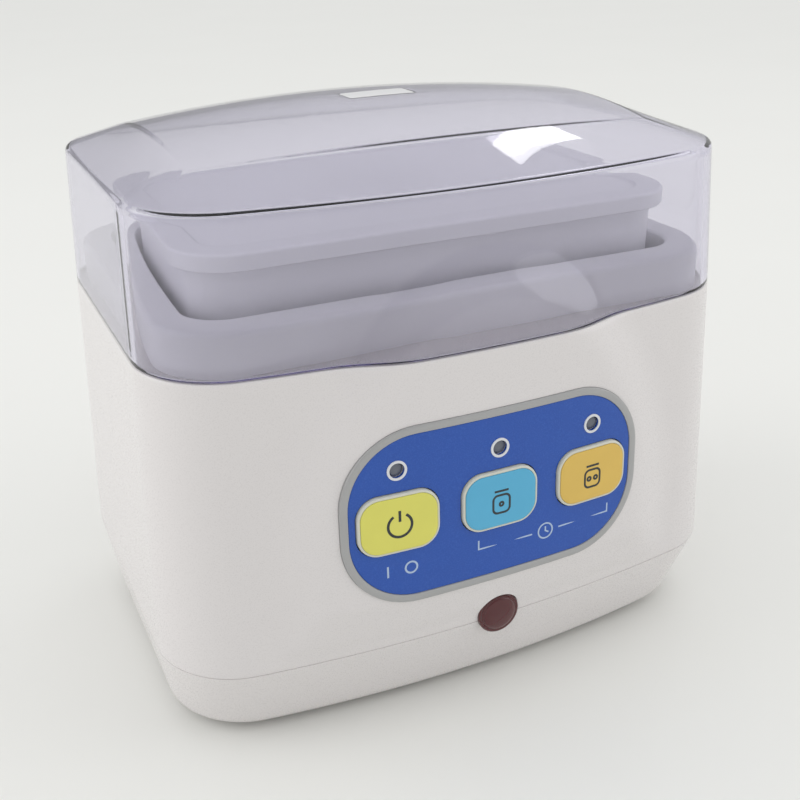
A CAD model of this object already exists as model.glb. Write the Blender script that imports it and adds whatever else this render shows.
from math import atan2, cos, pi, radians, sin

import bmesh
import bpy
import numpy as np
from mathutils import Euler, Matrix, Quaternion, Vector


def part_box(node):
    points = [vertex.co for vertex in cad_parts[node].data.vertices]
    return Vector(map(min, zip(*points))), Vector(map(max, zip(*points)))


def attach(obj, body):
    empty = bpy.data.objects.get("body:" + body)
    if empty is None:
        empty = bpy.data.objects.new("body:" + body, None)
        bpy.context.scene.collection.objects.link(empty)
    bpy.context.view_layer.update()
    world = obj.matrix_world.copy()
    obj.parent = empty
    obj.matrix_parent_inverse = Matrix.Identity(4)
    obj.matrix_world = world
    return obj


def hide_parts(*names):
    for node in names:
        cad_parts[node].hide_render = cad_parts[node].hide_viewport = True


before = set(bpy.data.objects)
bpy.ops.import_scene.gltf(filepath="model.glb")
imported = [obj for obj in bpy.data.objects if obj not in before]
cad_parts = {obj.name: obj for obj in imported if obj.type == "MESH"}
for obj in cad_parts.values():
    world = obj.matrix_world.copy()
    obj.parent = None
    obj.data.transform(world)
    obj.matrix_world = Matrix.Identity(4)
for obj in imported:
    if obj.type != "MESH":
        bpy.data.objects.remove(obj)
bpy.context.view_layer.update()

# Yogurt maker. Shapes are worked out here in millimetres, in the CAD frame, and become metres in new_piece().
MM = 0.001


# ---- places taken from the frame ------------------------------------------------------------
def box_mm(node):
    """Lowest and highest corner of a CAD node, in millimetres."""
    low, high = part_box(node)
    return low / MM, high / MM


def centre_mm(node):
    low, high = box_mm(node)
    return (low + high) / 2


SHELL_LOW, SHELL_HIGH = box_mm("body_shell")
LID_HIGH = box_mm("lid")[1]
LINER_LOW, LINER_HIGH = box_mm("chamber_liner")
CONTAINER_LOW, CONTAINER_HIGH = box_mm("container")
COVER_LOW, COVER_HIGH = box_mm("container_cover")
TRAY_LOW = box_mm("base_tray")[0]
PLAN_Y = centre_mm("container").y          # the case, lid and container share this centre in plan
SEAM_Z = SHELL_LOW.z
PART_Z = SHELL_HIGH.z
KEYS = {key: centre_mm(key + "_label") for key in ("power", "mode_a", "mode_b")}
PANEL = centre_mm("panel_frame")
PILOT = centre_mm("pilot_lens")
LED_Z = centre_mm("led_rings").z
INLET = centre_mm("mains_inlet")
BADGE = centre_mm("lid_badge")

# ---- driving dimensions ---------------------------------------------------------------------
SEAM_GROWTH = 5.0                          # the case widens by this much from the parting line to the seam
CASE_WIDTH = SHELL_HIGH.x - SHELL_LOW.x - SEAM_GROWTH
CASE_DEPTH = 146.2
FRONT_BOW = 10.8
BACK_BOW = 2.0
CORNER_R = 31.0
WALL = 2.5

RELIEF = 5.5                               # raised arch on the front
ARCH_CENTRE_Z = 52.0
ARCH_HALF_WIDTH = 77.0
ARCH_RISE = 121.0
ARCH_ROOT_Y = -81.2
ARCH_SLOPE = 2.27
ARCH_FULL_Z = 55.0
ARCH_SOFT = 1.8                            # softness of the arch's two long edges
ARCH_SKIRT = 14.0                          # the arch's foot reaches this far outside its outline

LID_WALL = 2.4
LID_GAP = 0.45                             # clear line under the lid's lower edge
EAVE_WIDTH = 217.2
EAVE_DEPTH = 140.8
EAVE_Z = 191.5
CREASE_X = 86.0                            # corners of the line where bevel and dome meet
CREASE_FRONT = -44.5
CREASE_BACK = 48.0
CREASE_FRONT_BOW = 9.8
CREASE_BACK_BOW = 4.0
CREASE_SOFT = 0.8
DOME_R_ACROSS = 640.0
DOME_R_DEPTH = 265.0

COLLAR_WIDTH = 207.0
COLLAR_DEPTH = 144.0
COLLAR_R = 24.0
COLLAR_SHIFT = -1.5
CHAMBER_WIDTH = 185.0
CHAMBER_DEPTH = 121.0
CHAMBER_R = 14.0
CONTAINER_WIDTH = 179.0
CONTAINER_DEPTH = 112.4
CONTAINER_R = 17.0
LIP_WIDTH = 183.2
LIP_DEPTH = 116.2
LIP_R = 18.2
FOOT_WIDTH = 214.0                         # underside of the base tray
FOOT_DEPTH = 128.0
FOOT_R = 8.0                               # rubber feet
HEAD_R = 3.0                               # screw heads

PANEL_WIDTH = 115.0
PANEL_HEIGHT = 65.0
PANEL_R = 27.0
PANEL_BORDER = 2.8
PANEL_RECESS = 0.85
KEY_WIDTH = 29.0
KEY_HEIGHT = 21.5
KEY_R = 7.5
KEY_GAP = 0.4
KEY_PROUD = 1.4
LABEL_INSET = 0.95
LED_R = 2.5
PILOT_R = 8.2
PRINT_THICK = 0.06                         # half the height of a printed line

# Points round each outline: front, each corner, each side, back.
FRONT_STEPS, CORNER_STEPS, SIDE_STEPS, BACK_STEPS = 128, 16, 24, 48


# ---- outlines and surfaces ------------------------------------------------------------------
def arc(centre, radius, start, end, steps):
    """Points of an arc without its last one. Angle 0 points to -Y, and angles run anticlockwise."""
    a = np.linspace(start, end, steps, endpoint=False)
    return np.column_stack((centre[0] + radius * np.sin(a), centre[1] - radius * np.cos(a)))


def outline(width, depth, radius, front_bow=0.0, back_bow=0.0, y=0.0):
    """Closed outline (n, 2): rounded corners, front and back bowed outwards, centred on (0, y)."""
    half_w, half_d = width / 2, depth / 2
    corner_x = half_w - radius

    def bowed(bow):
        """Radius of the bowed side, its centre from the middle, corner centre and half angle."""
        bow = max(bow, 1e-3)
        big = (half_w ** 2 + bow ** 2) / (2 * bow)
        centre = big - half_d - bow
        corner_y = centre - ((big - radius) ** 2 - corner_x ** 2) ** 0.5
        return big, centre, corner_y, atan2(corner_x, centre - corner_y)

    front_r, front_c, front_y, front_a = bowed(front_bow)
    back_r, back_c, back_y, back_a = bowed(back_bow)
    side = np.linspace(front_y, -back_y, SIDE_STEPS, endpoint=False)
    points = np.vstack((
        arc((0, front_c), front_r, -front_a, front_a, FRONT_STEPS),
        arc((corner_x, front_y), radius, front_a, pi / 2, CORNER_STEPS),
        np.column_stack((np.full(SIDE_STEPS, half_w), side)),
        arc((corner_x, -back_y), radius, pi / 2, pi - back_a, CORNER_STEPS),
        arc((0, -back_c), back_r, pi - back_a, pi + back_a, BACK_STEPS),
        arc((-corner_x, -back_y), radius, pi + back_a, 1.5 * pi, CORNER_STEPS),
        np.column_stack((np.full(SIDE_STEPS, -half_w), -side + front_y - back_y)),
        arc((-corner_x, front_y), radius, 1.5 * pi, 2 * pi - front_a, CORNER_STEPS),
    ))
    return points + (0, y)


def outward(points):
    """Unit directions out of a closed anticlockwise outline."""
    along = np.roll(points, -1, axis=0) - np.roll(points, 1, axis=0)
    along /= np.linalg.norm(along, axis=1)[:, None]
    return np.column_stack((along[:, 1], -along[:, 0]))


def soft_min(a, b, width):
    """The smaller of a and b, with the corner between them rounded over width."""
    h = np.clip(0.5 + 0.5 * (b - a) / width, 0, 1)
    return b * (1 - h) + a * h - width * h * (1 - h)


def at_height(points, z):
    """Plan points (n, 2) lifted to height z, a number or one for each, and moved to the CAD frame."""
    return np.column_stack((points[:, 0], points[:, 1] + PLAN_Y, np.broadcast_to(z, len(points))))


def case_size(z):
    """Width and depth of the case or lid wall at height z."""
    if z < PART_Z:
        growth = SEAM_GROWTH * (PART_Z - z) / (PART_Z - SEAM_Z)
        return CASE_WIDTH + growth, CASE_DEPTH + growth
    share = (z - PART_Z) / (EAVE_Z - PART_Z)
    return (CASE_WIDTH + share * (EAVE_WIDTH - CASE_WIDTH),
            CASE_DEPTH + share * (EAVE_DEPTH - CASE_DEPTH))


def arch_height(points, z):
    """How far the raised arch stands out of the front at each outline point."""
    x = np.abs(points[:, 0])
    rise = max(z - ARCH_CENTRE_Z, 0.0)
    low = np.full(len(x), -60.0)
    high = np.full(len(x), ARCH_HALF_WIDTH - 1.0)
    for _ in range(30):
        inset = (low + high) / 2
        inside = (x / (ARCH_HALF_WIDTH - inset)) ** 2 + (rise / (ARCH_RISE - inset)) ** 2 < 1
        low = np.where(inside, inset, low)
        high = np.where(inside, high, inset)
    full = RELIEF * np.clip((z - SEAM_Z) / (ARCH_FULL_Z - SEAM_Z), 0, 1)
    ramp = points[:, 1] - ARCH_ROOT_Y + low / ARCH_SLOPE
    raised = -soft_min(-soft_min(ramp, full, ARCH_SOFT), 0.0, ARCH_SOFT)
    on_front = (points[:, 1] < -40) & (low > -ARCH_SKIRT)
    return np.where(on_front, raised * min(1.0, full / ARCH_SOFT), 0.0)


def wall_ring(z, inset=0.0, place_z=None):
    """Ring of the case or lid wall at height z, moved inwards by inset and placed at place_z."""
    width, depth = case_size(z)
    base = outline(width, depth, CORNER_R, FRONT_BOW, BACK_BOW)
    moved = base + outward(base) * (arch_height(base, z) - inset)[:, None]
    return at_height(moved, z if place_z is None else place_z)


def plain_ring(width, depth, radius, z, shift=0.0):
    """Rounded rectangle at height z."""
    return at_height(outline(width, depth, radius, y=shift), z)


def front_y(x, z, proud):
    """Y of the arch's front face at (x, z), moved out by proud."""
    growth = SEAM_GROWTH * (PART_Z - z) / (PART_Z - SEAM_Z)
    out = RELIEF + proud
    half_w = (CASE_WIDTH + growth) / 2 + out
    half_d = (CASE_DEPTH + growth) / 2 + out
    big = (half_w ** 2 + FRONT_BOW ** 2) / (2 * FRONT_BOW)
    return PLAN_Y + big - half_d - FRONT_BOW - np.sqrt(big ** 2 - x ** 2)


def face_ring(shape, x, z, proud, scale=1.0):
    """Outline drawn on the front face about (x, z), proud of it and scaled about its centre."""
    px = x + shape[:, 0] * scale
    pz = z + shape[:, 1] * scale
    return np.column_stack((px, front_y(px, pz, proud), pz))


def prism_ring(shape, x, z, y):
    """The same outline in the upright plane at y."""
    return np.column_stack((x + shape[:, 0], np.full(len(shape), y), z + shape[:, 1]))


def circle(radius, steps=64):
    return arc((0, 0), radius, 0, 2 * pi, steps)


# ---- meshes ---------------------------------------------------------------------------------
def new_piece(name, verts, faces, sharp=35.0):
    """Mesh object from points in millimetres, smooth but for edges sharper than the angle."""
    mesh = bpy.data.meshes.new(name)
    mesh.from_pydata([tuple(v) for v in np.asarray(verts) * MM], [], faces)
    work = bmesh.new()
    work.from_mesh(mesh)
    bmesh.ops.recalc_face_normals(work, faces=work.faces)
    work.to_mesh(mesh)
    work.free()
    piece = bpy.data.objects.new(name, mesh)
    bpy.context.scene.collection.objects.link(piece)
    smooth(piece, sharp)
    return piece


def smooth(piece, sharp=35.0):
    piece.data.polygons.foreach_set("use_smooth", [True] * len(piece.data.polygons))
    piece.data.set_sharp_from_angle(angle=radians(sharp))


def ring_faces(rings, first=0, closed=False, caps=True):
    """Points and faces of a skin through rings of equal count; closed joins the last to the first."""
    count = len(rings[0])
    verts = np.vstack(rings)
    faces = []
    for k in range(len(rings) if closed else len(rings) - 1):
        a = first + k * count
        b = first + (k + 1) % len(rings) * count
        for i in range(count):
            j = (i + 1) % count
            faces.append((a + i, a + j, b + j, b + i))
    if caps and not closed:
        for ring, start in ((rings[0], first), (rings[-1], first + (len(rings) - 1) * count)):
            hub = first + len(verts)
            verts = np.vstack((verts, ring.mean(axis=0)))
            faces += [(hub, start + i, start + (i + 1) % count) for i in range(count)]
    return verts, faces


def skin(name, rings, closed=False, sharp=35.0):
    """One closed piece from its rings."""
    verts, faces = ring_faces(rings, closed=closed)
    return new_piece(name, verts, faces, sharp)


def group(name, bodies, sharp=35.0):
    """One object from several separate closed skins, each given as (rings, closed)."""
    verts, faces = np.zeros((0, 3)), []
    for rings, closed in bodies:
        more, links = ring_faces(rings, len(verts), closed)
        verts = np.vstack((verts, more))
        faces += links
    return new_piece(name, verts, faces, sharp)


def cut(piece, bodies):
    """Takes separate closed skins out of a piece."""
    cutter = group("cutter", bodies)
    step = piece.modifiers.new("cut", "BOOLEAN")
    step.operation = "DIFFERENCE"
    step.solver = "EXACT"
    step.object = cutter
    bpy.context.view_layer.update()
    made = bpy.data.meshes.new_from_object(piece.evaluated_get(bpy.context.evaluated_depsgraph_get()))
    piece.modifiers.clear()
    piece.data = made
    bpy.data.objects.remove(cutter)
    smooth(piece)


def quarter(start, corner, end, steps):
    """Points of a rounded corner from start to end, drawn towards corner."""
    t = np.linspace(0, 1, steps + 1)
    return [(1 - s) ** 2 * start + 2 * s * (1 - s) * corner + s ** 2 * end for s in t]


def turned(profile, centre, direction, steps=64):
    """Rings of a round body: profile is (radius, distance along direction) from centre."""
    along = Vector(direction).normalized()
    across = along.orthogonal().normalized()
    other = along.cross(across)
    a = np.linspace(0, 2 * pi, steps, endpoint=False)
    round_ = np.cos(a)[:, None] * np.array(across) + np.sin(a)[:, None] * np.array(other)
    return [np.array(centre) + r * round_ + d * np.array(along) for r, d in profile]


def press_print(name, lines, proud, width, x=0.0, z=0.0):
    """Printed marks on the front face: each line is (points (n, 2), closed), a thin rounded ridge."""
    section = circle(1.0, 10) * (width / 2, PRINT_THICK)
    bodies = []
    for points, closed in lines:
        points = np.asarray(points, float)
        ahead = np.roll(points, -1, axis=0) - points
        behind = points - np.roll(points, 1, axis=0)
        if not closed:
            ahead[-1] = behind[-1]
            behind[0] = ahead[0]
        ahead /= np.linalg.norm(ahead, axis=1)[:, None]
        behind /= np.linalg.norm(behind, axis=1)[:, None]
        side = np.column_stack((-(ahead + behind)[:, 1], (ahead + behind)[:, 0]))
        side /= (side * np.column_stack((-ahead[:, 1], ahead[:, 0]))).sum(axis=1)[:, None]
        rings = []
        for point, across in zip(points, side):
            flat = point + section[:, :1] * across + (x, z)
            high = front_y(flat[:, 0], flat[:, 1], proud) - section[:, 1]
            rings.append(np.column_stack((flat[:, 0], high, flat[:, 1])))
        bodies.append((rings, closed))
    return group(name, bodies)


# ---- materials ------------------------------------------------------------------------------
def linear(*colour):
    """Scene colour from display values of 0 to 255."""
    shares = [c / 255 for c in colour]
    return tuple(c / 12.92 if c <= 10 / 255 else ((c + 0.055) / 1.055) ** 2.4 for c in shares) + (1.0,)


def material(name, colour, roughness, mottle=0.04, patch=40.0, grain=0.4, bump=0.02, **sockets):
    """Principled finish: slow colour variation of mottle over patch mm, fine grain in gloss and relief."""
    mat = bpy.data.materials.new(name)
    mat.use_nodes = True
    nodes, links = mat.node_tree.nodes, mat.node_tree.links
    shader = nodes["Principled BSDF"]
    for socket, value in sockets.items():
        shader.inputs[socket.replace("_", " ")].default_value = value
    place = nodes.new("ShaderNodeTexCoord")

    def noise(size, detail):
        made = nodes.new("ShaderNodeTexNoise")
        made.inputs["Scale"].default_value = 1 / (size * MM)
        made.inputs["Detail"].default_value = detail
        links.new(place.outputs["Object"], made.inputs["Vector"])
        return made.outputs["Fac"]

    slow, fine = noise(patch, 3.0), noise(grain, 2.0)
    tint = nodes.new("ShaderNodeMix")
    tint.data_type = "RGBA"
    base = linear(*colour)
    tint.inputs["A"].default_value = [c * (1 - mottle) for c in base[:3]] + [1.0]
    tint.inputs["B"].default_value = [min(1.0, c * (1 + mottle)) for c in base[:3]] + [1.0]
    links.new(slow, tint.inputs["Factor"])
    links.new(tint.outputs["Result"], shader.inputs["Base Color"])
    gloss = nodes.new("ShaderNodeMapRange")
    gloss.inputs["To Min"].default_value = roughness * 0.85
    gloss.inputs["To Max"].default_value = roughness * 1.15
    links.new(fine, gloss.inputs["Value"])
    links.new(gloss.outputs["Result"], shader.inputs["Roughness"])
    relief = nodes.new("ShaderNodeBump")
    relief.inputs["Strength"].default_value = bump
    relief.inputs["Distance"].default_value = 0.1 * MM
    links.new(fine, relief.inputs["Height"])
    links.new(relief.outputs["Normal"], shader.inputs["Normal"])
    return mat


def clear_plastic(name, colour, density):
    """Tinted clear moulding: smooth glass-like surface with an absorbing inside."""
    mat = material(name, (252, 252, 253), 0.02, mottle=0.004, patch=60.0, grain=6.0, bump=0.04,
                   Transmission_Weight=1.0, IOR=1.49)
    inside = mat.node_tree.nodes.new("ShaderNodeVolumeAbsorption")
    inside.inputs["Color"].default_value = colour
    inside.inputs["Density"].default_value = density
    output = mat.node_tree.nodes["Material Output"]
    mat.node_tree.links.new(inside.outputs["Volume"], output.inputs["Volume"])
    return mat


def speckled_film(name, colour, fleck):
    """Printed film with fine lighter flecks under a satin face."""
    mat = material(name, colour, 0.3, mottle=0.05, patch=25.0, grain=0.25, bump=0.03)
    nodes, links = mat.node_tree.nodes, mat.node_tree.links
    shader = nodes["Principled BSDF"]
    base = shader.inputs["Base Color"].links[0].from_socket
    place = next(n for n in nodes if n.type == "TEX_COORD")
    dots = nodes.new("ShaderNodeTexNoise")
    dots.inputs["Scale"].default_value = 1 / (0.45 * MM)
    dots.inputs["Detail"].default_value = 1.0
    links.new(place.outputs["Object"], dots.inputs["Vector"])
    share = nodes.new("ShaderNodeMapRange")
    share.inputs["From Min"].default_value = 0.45
    share.inputs["From Max"].default_value = 0.75
    share.inputs["To Max"].default_value = 0.55
    links.new(dots.outputs["Fac"], share.inputs["Value"])
    mix = nodes.new("ShaderNodeMix")
    mix.data_type = "RGBA"
    mix.inputs["B"].default_value = linear(*fleck)
    links.new(base, mix.inputs["A"])
    links.new(share.outputs["Result"], mix.inputs["Factor"])
    links.new(mix.outputs["Result"], shader.inputs["Base Color"])
    return mat


LID_TINT = (0.167, 0.067, 0.567, 1.0)      # share of red, green and blue that gets through
LID_DENSITY = 42.0

FINISHES = {
    "case_white": material("case_white", (225, 221, 220), 0.28, mottle=0.012, patch=70, Coat_Weight=0.15),
    "liner_white": material("liner_white", (249, 248, 250), 0.38, mottle=0.015, patch=50),
    "container_white": material("container_white", (250, 249, 252), 0.42, mottle=0.015, patch=50),
    "rubber_grey": material("rubber_grey", (120, 120, 118), 0.75, mottle=0.08, patch=6, bump=0.2),
    "steel": material("steel", (176, 178, 180), 0.35, mottle=0.1, patch=3, Metallic=1.0),
    "aluminium": material("aluminium", (200, 201, 203), 0.32, mottle=0.05, patch=8, Metallic=1.0),
    "silicone_red": material("silicone_red", (170, 62, 40), 0.6, mottle=0.08, patch=5),
    "panel_silver": material("panel_silver", (172, 172, 172), 0.34, mottle=0.04, patch=12, Metallic=0.35),
    "panel_blue": speckled_film("panel_blue", (30, 80, 172), (50, 100, 188)),
    "ring_white": material("ring_white", (225, 226, 228), 0.3, mottle=0.03, patch=4),
    "led_lens": material("led_lens", (104, 108, 118), 0.3, mottle=0.06, patch=2, Coat_Weight=0.2),
    "black_plastic": material("black_plastic", (38, 40, 44), 0.4, mottle=0.08, patch=4),
    "board_green": material("board_green", (36, 92, 58), 0.4, mottle=0.15, patch=5),
    "terminal_green": material("terminal_green", (58, 140, 84), 0.4, mottle=0.06, patch=5),
    "pilot_red": material("pilot_red", (78, 8, 16), 0.14, mottle=0.1, patch=5, Coat_Weight=0.4),
    "lamp_glass": material("lamp_glass", (230, 214, 200), 0.08, mottle=0.03, patch=3,
                           Transmission_Weight=0.8),
    "core_steel": material("core_steel", (128, 126, 124), 0.5, mottle=0.15, patch=2, Metallic=0.8),
    "coil_yellow": material("coil_yellow", (214, 178, 74), 0.5, mottle=0.1, patch=3),
    "inlet_black": material("inlet_black", (32, 32, 34), 0.45, mottle=0.1, patch=6, bump=0.08),
    "brass_pin": material("brass_pin", (212, 178, 104), 0.25, mottle=0.08, patch=3, Metallic=1.0),
    "lead_black": material("lead_black", (34, 34, 36), 0.5, mottle=0.1, patch=6),
    "lead_red": material("lead_red", (168, 40, 36), 0.5, mottle=0.1, patch=6),
    "ribbon_grey": material("ribbon_grey", (168, 168, 166), 0.5, mottle=0.06, patch=4),
    "lid_clear": clear_plastic("lid_clear", LID_TINT, LID_DENSITY),
    "badge_white": material("badge_white", (240, 240, 240), 0.22, mottle=0.02, patch=8, Coat_Weight=0.4),
    "key_white": material("key_white", (214, 214, 200), 0.34, mottle=0.02, patch=10),
    "label_yellow": material("label_yellow", (224, 220, 104), 0.36, mottle=0.04, patch=9),
    "label_cyan": material("label_cyan", (88, 178, 216), 0.36, mottle=0.04, patch=9),
    "label_amber": material("label_amber", (224, 188, 92), 0.36, mottle=0.04, patch=9),
    "ink_dark": material("ink_dark", (44, 50, 52), 0.45, mottle=0.06, patch=3),
    "ink_pale": material("ink_pale", (176, 196, 222), 0.45, mottle=0.05, patch=3),
}

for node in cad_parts.values():
    for k, own in enumerate(node.data.materials):
        node.data.materials[k] = FINISHES[own.name.split(".")[0]]


def stand_for(piece, node, body, slot):
    """The piece takes a CAD node's place, body and finish."""
    piece.data.materials.clear()
    piece.data.materials.append(FINISHES[slot])
    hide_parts(node)
    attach(piece, body)


# ---- case -----------------------------------------------------------------------------------
def key_shape(grow):
    return outline(KEY_WIDTH + 2 * grow, KEY_HEIGHT + 2 * grow, KEY_R + grow)


def panel_shape(inset):
    return outline(PANEL_WIDTH - 2 * inset, PANEL_HEIGHT - 2 * inset, PANEL_R - inset)


def through(shape, x, z, y0=-110.0, y1=-55.0):
    """Straight cutter through the front."""
    return [prism_ring(shape, x, z, y0), prism_ring(shape, x, z, y1)], False


def window_cutters():
    """Key windows and indicator holes."""
    bodies = []
    for centre in KEYS.values():
        bodies.append(through(key_shape(KEY_GAP), centre.x, centre.z))
        bodies.append(through(circle(LED_R + 0.15), centre.x, LED_Z))
    return bodies


def make_body_shell():
    """Case shell: bowed walls, raised arch, rounded top edge, inner shoulder and hollow inside."""
    edge = 0.9
    seam_edge = 0.45
    rings = [wall_ring(SEAM_Z, seam_edge)]
    rings.append(wall_ring(SEAM_Z, 0.1, SEAM_Z + 0.2))
    heights = np.linspace(SEAM_Z + 0.6, PART_Z - edge, 70)
    rings += [wall_ring(z) for z in heights]
    for a in np.linspace(0, pi / 2, 6)[1:]:
        rings.append(wall_ring(PART_Z, edge * (1 - cos(a)), PART_Z - edge * (1 - sin(a))))
    opening = (CHAMBER_WIDTH + 7, CHAMBER_DEPTH + 7, CHAMBER_R + 3.5)
    rings.append(plain_ring(*opening, PART_Z))
    rings.append(plain_ring(*opening, PART_Z - 3))
    rings.append(wall_ring(PART_Z, WALL, PART_Z - 3))
    rings += [wall_ring(z, WALL) for z in np.linspace(PART_Z - 4, SEAM_Z + 1, 40)]
    rings.append(wall_ring(SEAM_Z, WALL))
    shell = skin("body_shell_moulding", rings, closed=True)
    pocket = panel_shape(-0.1)
    pocket_rings = [prism_ring(pocket, 0, PANEL.z, -115.0), face_ring(pocket, 0, PANEL.z, -PANEL_RECESS)]
    pocket_rings += [face_ring(pocket, 0, PANEL.z, -PANEL_RECESS, s) for s in np.linspace(0.9, 0.1, 9)]
    inlet = outline(30.2, 17.2, 4.0)
    back = through(inlet, 0, INLET.z, 60.0, 110.0)
    cut(shell, [(pocket_rings, False), through(circle(PILOT_R), PILOT.x, PILOT.z), back])
    cut(shell, window_cutters())
    stand_for(shell, "body_shell", "case", "case_white")


def make_base_tray():
    """Tray that closes the case from below, its sides drawn in towards the feet."""
    def ring(share, inset, z):
        size = SEAM_GROWTH
        width = FOOT_WIDTH + share * (CASE_WIDTH + size - FOOT_WIDTH) - 2 * inset
        depth = FOOT_DEPTH + share * (CASE_DEPTH + size - FOOT_DEPTH) - 2 * inset
        return at_height(outline(width, depth, max(CORNER_R - inset, 2.0), FRONT_BOW, BACK_BOW), z)

    low, high = TRAY_LOW.z, SEAM_Z
    bend = 6.0
    rings = [ring(0, s, low) for s in (60, 40, 20)]
    for a in np.linspace(0, pi / 2, 9):
        z = low + bend * (1 - cos(a))
        rings.append(ring((z - low) / (high - low), bend * (1 - sin(a)), z))
    rings += [ring((z - low) / (high - low), 0, z) for z in np.linspace(low + bend + 1, high - 0.6, 24)]
    rings.append(ring(1, 0.1, high - 0.2))
    rings.append(ring(1, 0.45, high))
    rings.append(ring(1, WALL, high))
    rings.append(ring(0.1, WALL, low + WALL + 3))
    rings.append(ring(0, WALL + 3, low + WALL))
    rings += [ring(0, s, low + WALL) for s in (25, 45, 60)]
    tray = skin("base_tray_moulding", rings)
    bodies = [through(circle(PILOT_R), PILOT.x, PILOT.z)]
    recess, well = FOOT_R + 0.1, HEAD_R + 0.4
    for x, y in corners("rubber_feet", FOOT_R):
        bodies.append((turned([(recess, -2.0), (recess, low + 1.0)], (x, y, 0), (0, 0, 1)), False))
    for x, y in corners("base_screws", HEAD_R):
        bodies.append((turned([(well, -2.0), (well, low + WALL - 0.6)], (x, y, 0), (0, 0, 1)), False))
    cut(tray, bodies)
    stand_for(tray, "base_tray", "case", "case_white")


def corners(node, radius):
    """Centres of four equal round pieces at the corners of a node's box."""
    low, high = box_mm(node)
    return [(x, y) for x in (low.x + radius, high.x - radius) for y in (low.y + radius, high.y - radius)]


def make_feet():
    """Moulded rubber feet with a rounded tread and a dimple."""
    top = TRAY_LOW.z + 1.0
    profile = [(0.4, 0.5), (3.2, 0.5), (3.8, 0.0), (7.2, 0.0), (7.7, 0.2), (FOOT_R, 0.7),
               (FOOT_R, top - 0.1), (0.4, top - 0.1)]
    bodies = [(turned(profile, (x, y, 0), (0, 0, 1), 48), False) for x, y in corners("rubber_feet", FOOT_R)]
    stand_for(group("rubber_feet_mouldings", bodies), "rubber_feet", "case", "rubber_grey")


def make_liner():
    """Raised rim that locates the lid, chamber walls, and a floor open under the heat plate."""
    top, floor = LINER_HIGH.z, LINER_LOW.z
    edge, lip = 2.2, 1.4

    def collar(inset, z):
        return plain_ring(COLLAR_WIDTH - 2 * inset, COLLAR_DEPTH - 2 * inset, COLLAR_R - inset, z,
                          COLLAR_SHIFT)

    def chamber(grow, z):
        return plain_ring(CHAMBER_WIDTH + 2 * grow, CHAMBER_DEPTH + 2 * grow, CHAMBER_R + grow, z)

    rings = [collar(0.0, PART_Z + 0.02), collar(0.0, PART_Z + 4), collar(0.0, top - edge - 2)]
    rings += [collar(edge * (1 - cos(a)), top - edge * (1 - sin(a))) for a in np.linspace(0, pi / 2, 9)]
    rings += [chamber(lip * (1 - sin(a)), top - lip * (1 - cos(a))) for a in np.linspace(0, pi / 2, 7)]
    rings += [chamber(0, z) for z in np.linspace(top - lip - 3, floor + 5, 12)]
    rings += [chamber(-0.6, floor + 3.6), chamber(-2, floor + 3)]
    rings += [plain_ring(140, 76, 8, floor + 3), plain_ring(140, 76, 8, floor)]
    rings += [chamber(WALL, floor), chamber(WALL, top - WALL - 1), chamber(WALL + 1, top - WALL)]
    rings += [collar(WALL + 1, top - WALL), collar(WALL, top - WALL - 1), collar(WALL, PART_Z + 0.02)]
    stand_for(skin("chamber_liner_moulding", rings, closed=True), "chamber_liner", "case", "liner_white")


# ---- container ------------------------------------------------------------------------------
def make_container():
    """Tapered container with rounded floor edges and a rolled lip."""
    low, high = CONTAINER_LOW.z, CONTAINER_HIGH.z
    draft, bend, wall = 2.0, 6.0, 2.0

    def cup(inset, z):
        taper = draft * (high - z) / (high - low) + inset
        return plain_ring(CONTAINER_WIDTH - 2 * taper, CONTAINER_DEPTH - 2 * taper, CONTAINER_R - inset, z)

    def lip(inset, z):
        return plain_ring(LIP_WIDTH - 2 * inset, LIP_DEPTH - 2 * inset, LIP_R - inset, z)

    rings = [cup(s, low) for s in (16.5, 11)]
    rings += [cup(bend * (1 - sin(a)), low + bend * (1 - cos(a))) for a in np.linspace(0, pi / 2, 9)]
    rings += [cup(0, z) for z in np.linspace(low + bend + 4, high - 3.4, 12)]
    rings += [cup(-0.4, high - 2.7), lip(0.3, high - 2.5), lip(0, high - 2.2), lip(0, high - 0.5)]
    rings += [lip(0.15, high - 0.15), lip(0.5, high), cup(wall - 0.5, high), cup(wall - 0.1, high - 0.2)]
    rings += [cup(wall, z) for z in np.linspace(high - 0.8, low + wall + 4, 12)]
    rings += [cup(wall + 4 * (1 - cos(a)), low + wall + 4 * (1 - sin(a))) for a in np.linspace(0, pi / 2, 7)]
    rings += [cup(s, low + wall) for s in (11, 16.5)]
    stand_for(skin("container_moulding", rings), "container", "container", "container_white")


def make_cover():
    """Container cover: rounded raised border, shallow dish and a skirt over the lip."""
    low, top = COVER_LOW.z, COVER_HIGH.z
    gap, skirt, edge = 0.3, 1.6, 1.1
    out = gap + skirt

    def ring(inset, z):
        return plain_ring(LIP_WIDTH + 2 * out - 2 * inset, LIP_DEPTH + 2 * out - 2 * inset,
                          max(LIP_R + out - inset, 1.0), z)

    inside = low + 2.8
    rings = [ring(s, inside) for s in (19, 14, 10)]
    rings += [ring(s, inside - 3.6) for s in (6.6, 5.4)]
    rings += [ring(5.3, inside - 0.3), ring(4.9, inside)]
    rings += [ring(skirt + 0.3, inside), ring(skirt, inside - 0.3)]
    rings += [ring(skirt, low + 0.4), ring(skirt - 0.3, low), ring(0.4, low), ring(0, low + 0.4)]
    rings += [ring(0, top - edge - 0.8)]
    rings += [ring(edge * (1 - cos(a)), top - edge * (1 - sin(a))) for a in np.linspace(0, pi / 2, 7)]
    rings += [ring(9.2, top), ring(9.7, top - 0.12), ring(10.3, top - 0.68), ring(10.8, top - 0.8)]
    rings += [ring(s, top - 0.8) for s in (14, 19)]
    stand_for(skin("container_cover_moulding", rings), "container_cover", "cover", "container_white")


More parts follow.
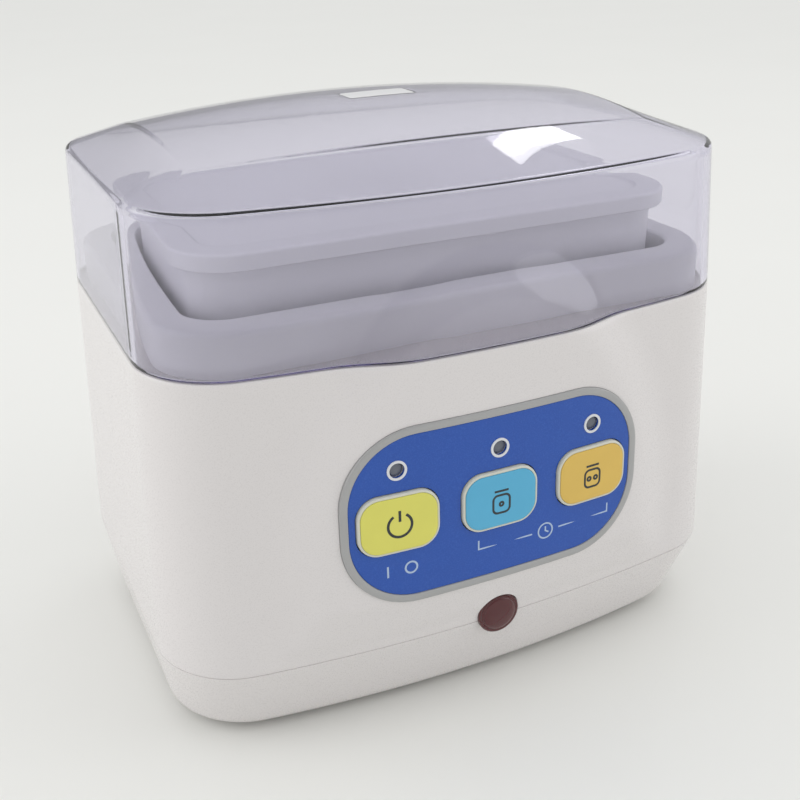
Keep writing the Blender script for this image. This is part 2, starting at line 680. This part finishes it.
# ---- lid ------------------------------------------------------------------------------------
def dome_z(points, drop):
    """Height of the lid's double-curved top, lowered by drop."""
    arc_r = DOME_R_DEPTH - drop
    rho = DOME_R_ACROSS - drop - arc_r + np.sqrt(arc_r ** 2 - points[:, 1] ** 2)
    return LID_HIGH.z - DOME_R_ACROSS + np.sqrt(rho ** 2 - points[:, 0] ** 2)


def crease_outline(eave, inset):
    """Four-cornered line where the bevel meets the dome, one point for each point of the eave."""
    shrink = 0.19 * inset
    half_x = CREASE_X - shrink
    low_y, high_y = CREASE_FRONT + shrink, CREASE_BACK - shrink
    half_corner = CORNER_STEPS // 2
    right = FRONT_STEPS + half_corner
    back = right + CORNER_STEPS + SIDE_STEPS
    left = back + CORNER_STEPS + BACK_STEPS
    front = left + CORNER_STEPS + SIDE_STEPS
    share_x = eave[:, 0] / eave[right, 0]
    share_y = (eave[:, 1] - eave[right, 1]) / (eave[back, 1] - eave[right, 1])
    index = np.arange(len(eave))
    on_front = (index >= front) | (index < right)
    on_right = (index >= right) & (index < back)
    on_back = (index >= back) & (index < left)
    bow = 1 - share_x ** 2
    side_y = low_y + share_y * (high_y - low_y)
    x = np.where(on_front | on_back, half_x * share_x, np.where(on_right, half_x, -half_x))
    y = np.where(on_back, high_y + CREASE_BACK_BOW * bow, side_y)
    y = np.where(on_front, low_y - CREASE_FRONT_BOW * bow, y)
    return np.column_stack((x, y))


def roof_rings(inset, bend):
    """Rings from the eave up the bevel, over the crease and in to the middle of the dome."""
    eave_z = EAVE_Z - 0.7 * inset
    flat = outline(EAVE_WIDTH - 2 * inset, EAVE_DEPTH - 2 * inset, CORNER_R - inset, FRONT_BOW, BACK_BOW)
    crease = crease_outline(flat, inset)
    eave = at_height(flat, eave_z)
    top = at_height(crease, dome_z(crease, inset))
    run = np.linalg.norm(top - eave, axis=1)[:, None]

    def bevel(distance):
        return eave + (top - eave) * distance / run

    inner = crease * (1 - CREASE_SOFT / np.linalg.norm(crease, axis=1))[:, None]
    past = at_height(inner, dome_z(inner, inset))
    reach = bend * 0.7
    start = at_height(flat, eave_z - reach)
    rings = quarter(start, eave, bevel(reach), 7)[:-1]
    rings += [bevel(reach + (run - reach - CREASE_SOFT) * s) for s in np.linspace(0, 0.97, 12)]
    rings += quarter(bevel(run - CREASE_SOFT), top, past, 6)
    for s in np.linspace(0.97, 0.04, 18):
        rings.append(at_height(inner * s, dome_z(inner * s, inset)))
    return rings, eave_z - reach


def lid_side(inset, bend, foot):
    """Rings of one face of the lid, from its lower edge to the middle of its top."""
    roof, wall_top = roof_rings(inset, bend)
    base = PART_Z + LID_GAP
    walls = [wall_ring(base + foot, inset)]
    walls += [wall_ring(z, inset) for z in np.linspace(base + foot + 0.8, wall_top - 0.6, 40)]
    return walls + roof


def make_lid():
    """Tinted clear lid, one wall thickness all round, with a seat for the blank plate."""
    base = PART_Z + LID_GAP
    outer = lid_side(0.0, 2.6, 0.6)
    inner = lid_side(LID_WALL, 0.8, 0.4)
    rim = [wall_ring(base, LID_WALL, base + 0.4), wall_ring(base, LID_WALL - 0.35, base)]
    rim += [wall_ring(base, 0.5, base), wall_ring(base, 0.12, base + 0.15)]
    lid = skin("lid_moulding", inner[::-1] + rim[1:] + outer)
    low, high = box_mm("lid_badge")
    seat = outline(high.x - low.x + 0.6, high.y - low.y + 0.6, 1.0) + (0, BADGE.y - PLAN_Y)
    floor = at_height(seat, dome_z(seat, high.z - low.z))
    cut(lid, [([at_height(seat, LID_HIGH.z + 3), floor], False)])
    stand_for(lid, "lid", "lid", "lid_clear")


def make_badge():
    """Blank plate with softened edges, flush in its seat."""
    low, high = box_mm("lid_badge")
    width, depth, thick = high.x - low.x, high.y - low.y, 0.85

    def ring(inset, drop, scale=1.0):
        shape = outline(width - 2 * inset, depth - 2 * inset, 1.2 - inset) * scale
        return at_height(shape + (0, BADGE.y - PLAN_Y), dome_z(shape, drop))

    rings = [ring(0.3, thick, s) for s in (0.1, 0.5, 0.9)] + [ring(0.0, thick - 0.2), ring(0.0, 0.2)]
    rings += [ring(0.06, 0.06), ring(0.25, 0.0)] + [ring(0.25, 0.0, s) for s in (0.9, 0.5, 0.1)]
    stand_for(skin("lid_badge_plate", rings), "lid_badge", "lid", "badge_white")


# ---- control panel --------------------------------------------------------------------------
def make_panel_frame():
    """Silver border with rounded edges."""
    profile = [(0.0, -0.6), (0.0, 0.25), (0.08, 0.42), (0.25, 0.5), (PANEL_BORDER - 0.25, 0.5),
               (PANEL_BORDER - 0.08, 0.42), (PANEL_BORDER, 0.25), (PANEL_BORDER, -0.6)]
    rings = [face_ring(panel_shape(inset), 0, PANEL.z, proud) for inset, proud in profile]
    stand_for(skin("panel_frame_trim", rings, closed=True), "panel_frame", "case", "panel_silver")


def make_panel_overlay():
    """Blue face with rounded outer edge and windows for the keys and the lights."""
    inset = PANEL_BORDER + 0.05
    rings = [face_ring(panel_shape(inset), 0, PANEL.z, -0.65, s) for s in (0.1, 0.4, 0.7)]
    rings += [face_ring(panel_shape(inset), 0, PANEL.z, proud) for proud in (-0.65, 0.08)]
    rings += [face_ring(panel_shape(inset + 0.15), 0, PANEL.z, 0.2, s) for s in np.linspace(1, 0.05, 20)]
    face = skin("panel_overlay_film", rings)
    cut(face, window_cutters())
    stand_for(face, "panel_overlay", "case", "panel_blue")


def key_cap(key):
    """Skin of a key cap with a rounded rim round the pocket of its coloured plate."""
    x, z = KEYS[key].x, KEYS[key].z
    back_y = box_mm(key + "_button")[1].y - 9.0
    pocket_floor = KEY_PROUD - 0.6
    rings = [face_ring(key_shape(-LABEL_INSET), x, z, pocket_floor, s) for s in (0.1, 0.5, 0.9)]
    profile = [(LABEL_INSET, pocket_floor), (LABEL_INSET, KEY_PROUD - 0.2), (LABEL_INSET - 0.2, KEY_PROUD),
               (0.6, KEY_PROUD), (0.3, KEY_PROUD - 0.08), (0.08, KEY_PROUD - 0.3), (0, KEY_PROUD - 0.6),
               (0, -2.0)]
    rings += [face_ring(key_shape(-inset), x, z, proud) for inset, proud in profile]
    rings.append(prism_ring(key_shape(0), x, z, back_y))
    return rings, False


def make_keys():
    """Key caps with their flanges and stems, and the coloured plates in their pockets."""
    colours = {"power": "label_yellow", "mode_a": "label_cyan", "mode_b": "label_amber"}
    for key, colour in colours.items():
        x, z = KEYS[key].x, KEYS[key].z
        body = key + "_key"
        stem_reach = 3.0
        flange_y = box_mm(key + "_button")[1].y - stem_reach
        stem = turned([(2.0, -1.0), (2.0, stem_reach)], (x, flange_y, z), (0, 1, 0), 24)
        flange = outline(KEY_WIDTH + 3, KEY_HEIGHT + 3, KEY_R + 1)
        plate = [prism_ring(flange, x, z, flange_y - 0.6), prism_ring(flange, x, z, flange_y + 0.6)]
        cap = group(key + "_button_cap", [key_cap(key), (plate, False), (stem, False)])
        stand_for(cap, key + "_button", body, "key_white")
        inset = LABEL_INSET + 0.05
        rings = [face_ring(key_shape(-inset), x, z, KEY_PROUD - 0.55, s) for s in (0.1, 0.5, 0.9, 1.0)]
        rings += [face_ring(key_shape(-inset), x, z, KEY_PROUD + 0.02)]
        rings += [face_ring(key_shape(-inset - 0.06), x, z, KEY_PROUD + 0.11)]
        face = key_shape(-inset - 0.2)
        rings += [face_ring(face, x, z, KEY_PROUD + 0.15, s) for s in (1.0, 0.9, 0.6, 0.3, 0.1)]
        stand_for(skin(key + "_label_plate", rings), key + "_label", body, colour)


def ellipse(x, z, half_w, half_h, start=0.0, end=2 * pi, steps=40):
    """Points of an ellipse or part of one; angle 0 points down."""
    a = np.linspace(start, end, steps, endpoint=end - start < 2 * pi - 0.01)
    return np.column_stack((x + half_w * np.sin(a), z - half_h * np.cos(a)))


def jar(x, z, size):
    """Lines of a plain jar with a lid."""
    body = outline(size, 1.05 * size, 0.28 * size)[::3] + (x, z - 0.15 * size)
    lid = np.array([(x - 0.42 * size, z + 0.62 * size), (x + 0.42 * size, z + 0.62 * size)])
    return [(body, True), (lid, False)]


def add_print(name, lines, body, proud, width, ink, place):
    piece = press_print(name, lines, proud, width, place.x, place.z)
    piece.data.materials.append(FINISHES[ink])
    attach(piece, body)


def make_prints():
    """Plain marks on the keys: a power sign, a jar with one dot and a jar with two."""
    on_key = KEY_PROUD + 0.16
    gap = radians(32)
    power = [(ellipse(0, -0.4, 4.2, 4.2, -pi + gap, pi - gap), False)]
    power += [(np.array([(0, 1.0), (0, 5.0)]), False)]
    add_print("power_sign", power, "power_key", on_key, 1.0, "ink_dark", KEYS["power"])
    one = jar(0, -0.6, 6.4) + [(ellipse(0, -1.6, 0.7, 0.7), True)]
    add_print("mode_a_sign", one, "mode_a_key", on_key, 0.85, "ink_dark", KEYS["mode_a"])
    two = jar(0, -0.6, 6.4) + [(ellipse(s, -1.6, 0.7, 0.7), True) for s in (-1.4, 1.4)]
    add_print("mode_b_sign", two, "mode_b_key", on_key, 0.85, "ink_dark", KEYS["mode_b"])


def make_panel_prints():
    """Pale bracket that joins the two mode keys, and on and off signs under the power key."""
    on_face = 0.22
    low = -KEY_HEIGHT / 2 - 7.2
    left, right = -KEY_WIDTH * 0.28, KEYS["mode_b"].x - KEYS["mode_a"].x + KEY_WIDTH * 0.28
    tick = 3.4
    middle = (left + right) / 2
    lines = [(np.array([(left, low + tick), (left, low), (middle - 5.5, low)]), False),
             (np.array([(middle + 5.5, low), (right, low), (right, low + tick)]), False)]
    lines += [(ellipse(middle, low, 2.9, 2.9), True)]
    lines += [(np.array([(middle, low + 1.7), (middle, low), (middle + 1.3, low - 0.8)]), False)]
    add_print("mode_bracket", lines, "case", on_face, 0.6, "ink_pale", KEYS["mode_a"])
    signs = [(np.array([(-4.2, low - 2.1), (-4.2, low + 2.1)]), False), (ellipse(4.2, low, 2.1, 2.1), True)]
    add_print("power_marks", signs, "case", on_face, 0.7, "ink_pale", KEYS["power"])


def make_lights():
    """Indicator lights just inside their holes, and the domed pilot lens with its rim."""
    bodies = []
    back_y = box_mm("indicator_leds")[1].y
    for centre in KEYS.values():
        length = back_y - front_y(centre.x, LED_Z, -0.5)
        profile = [(0.2, 0.0), (LED_R, 0.0), (LED_R, length - 0.5), (LED_R - 0.15, length - 0.2)]
        profile += [(LED_R - 0.5, length - 0.05), (1.0, length), (0.2, length)]
        bodies.append((turned(profile, (centre.x, back_y, LED_Z), (0, -1, 0), 40), False))
    stand_for(group("indicator_lights", bodies), "indicator_leds", "case", "led_lens")
    low, high = box_mm("pilot_lens")
    tip = high.y - low.y
    radius = PILOT_R - 0.05
    profile = [(0.3, tip - 3.2), (5.3, tip - 3.2), (5.6, tip - 3.5), (5.6, 0), (radius, 0)]
    profile += [(radius, tip - 1.9), (radius - 0.12, tip - 1.5), (radius - 0.5, tip - 1.25)]
    profile += [(radius - 0.9, tip - 1.3), (radius - 1.15, tip - 1.35), (radius - 1.35, tip - 1.1)]
    profile += [(6.4 * sin(a), tip - 1.0 + cos(a)) for a in np.linspace(pi / 2, 0.05, 12)]
    lens = skin("pilot_lens_dome", turned(profile, (PILOT.x, high.y, PILOT.z), (0, -1, 0), 72))
    stand_for(lens, "pilot_lens", "case", "pilot_red")


# ---- camera, light and floor ----------------------------------------------------------------
CAMERA_PLACE = (-0.16765, -0.36690, 0.27470)
CAMERA_YAW = 0.434124
CAMERA_PITCH = 0.381137
CAMERA_ROLL = -0.018045
LENS = 49.65
TENT_BASE, TENT_SIDES, TENT_TOP = 0.39, 0.48, 0.76         # light from everywhere, from the sides, from above
FLOOR_RINGS = (20.0, 200.0, 800.0, 6000.0, 40000.0)        # radii of the floor's rings
FLOOR_STEPS = 96


def make_camera():
    camera = bpy.data.objects.new("camera", bpy.data.cameras.new("camera"))
    bpy.context.scene.collection.objects.link(camera)
    camera.data.lens = LENS
    camera.data.shift_y = -0.075
    camera.location = CAMERA_PLACE
    camera.rotation_mode = "QUATERNION"
    look = Euler((pi / 2 - CAMERA_PITCH, 0, -CAMERA_YAW)).to_quaternion()
    camera.rotation_quaternion = look @ Quaternion((0, 0, 1), CAMERA_ROLL)
    camera.data.clip_start = 0.01
    bpy.context.scene.camera = camera


def make_light(name, place, target, size, power, colour=(1, 1, 1)):
    data = bpy.data.lights.new(name, "AREA")
    data.shape = "RECTANGLE"
    data.size, data.size_y = size
    data.energy = power
    data.color = colour
    light = bpy.data.objects.new(name, data)
    bpy.context.scene.collection.objects.link(light)
    light.location = place
    light.rotation_mode = "QUATERNION"
    light.rotation_quaternion = (Vector(place) - Vector(target)).to_track_quat("Z", "Y")


def make_world():
    """Soft white tent, brighter overhead and at both sides than in front and behind."""
    world = bpy.data.worlds.new("studio")
    world.use_nodes = True
    nodes, links = world.node_tree.nodes, world.node_tree.links
    split = nodes.new("ShaderNodeSeparateXYZ")
    links.new(nodes.new("ShaderNodeTexCoord").outputs["Generated"], split.inputs[0])

    def math(operation, a, b):
        made = nodes.new("ShaderNodeMath")
        made.operation = operation
        for k, value in enumerate((a, b)):
            if isinstance(value, float):
                made.inputs[k].default_value = value
            else:
                links.new(value, made.inputs[k])
        return made.outputs[0]

    aside = math("POWER", math("ABSOLUTE", split.outputs["X"], 0.0), 1.5)
    above = math("POWER", math("MAXIMUM", split.outputs["Z"], 0.0), 2.0)
    glow = math("ADD", math("MULTIPLY", aside, TENT_SIDES), math("MULTIPLY", above, TENT_TOP))
    back = nodes["Background"]
    back.inputs["Color"].default_value = (0.985, 0.99, 1.0, 1.0)
    links.new(math("ADD", glow, TENT_BASE), back.inputs["Strength"])
    bpy.context.scene.world = world


def make_studio():
    make_world()
    bpy.context.scene.view_settings.view_transform = "Standard"
    make_light("left_window", (-1.6, 0.5, 0.8), (0, 0, 0.1), (1.2, 1.2), 6)
    make_light("right_window", (1.4, -0.8, 0.7), (0, 0, 0.1), (1.2, 1.2), 3.5)
    make_light("back_lamp", (0.93, 0.77, 1.26), (0, 0, 0.2), (0.06, 0.30), 0.25)
    rings = [at_height(circle(r, FLOOR_STEPS), 0.0) for r in FLOOR_RINGS]
    verts, faces = ring_faces(rings[::-1], caps=False)
    hub = len(verts)
    verts = np.vstack((verts, rings[0].mean(axis=0)))
    first = hub - FLOOR_STEPS
    faces += [(hub, first + (i + 1) % FLOOR_STEPS, first + i) for i in range(FLOOR_STEPS)]
    floor = new_piece("floor", verts, faces)
    paper = material("paper", (236, 236, 232), 0.9, mottle=0.01, patch=200, Specular_IOR_Level=0.2)
    floor.data.materials.append(paper)


make_camera()
make_studio()
make_body_shell()
make_base_tray()
make_feet()
make_liner()
make_container()
make_cover()
make_lid()
make_badge()
make_panel_frame()
make_panel_overlay()
make_keys()
make_prints()
make_panel_prints()
make_lights()
